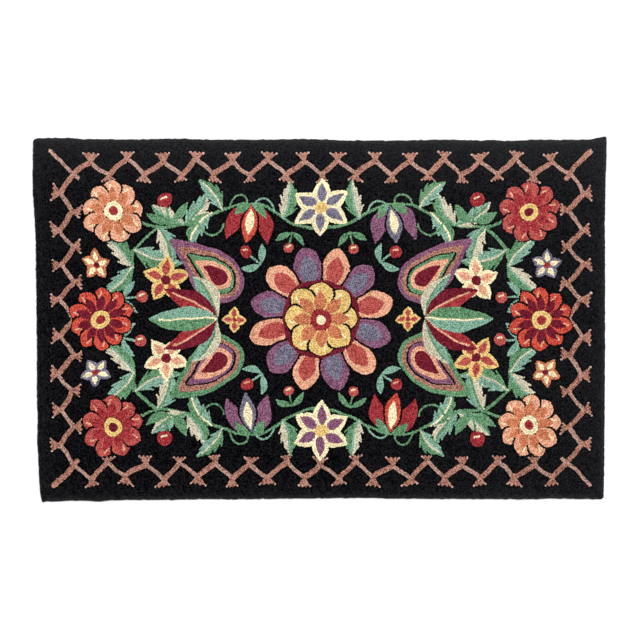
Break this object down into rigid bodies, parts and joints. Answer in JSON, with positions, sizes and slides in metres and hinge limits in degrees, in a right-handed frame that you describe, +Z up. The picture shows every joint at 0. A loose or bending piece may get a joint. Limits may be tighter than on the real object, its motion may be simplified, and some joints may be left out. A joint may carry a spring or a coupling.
{
  "type": "hooked rug",
  "caption": "Flat rectangular floor rug with a looped wool pile hooked through a foundation cloth, and slightly uneven handmade edges.",
  "frame": {"origin": "middle of the bounding box of the underside, on the floor", "axes": "+X along the rug's long side, +Y across it towards its top edge, +Z up out of the pile"},
  "size_m": [1.2274, 0.7806, 0.0095],
  "materials": {
    "wool_pile": "matt looped wool pile"
  },
  "bodies": {
    "root": {"hooked_rug": "wool_pile"}
  },
  "joints": []
}
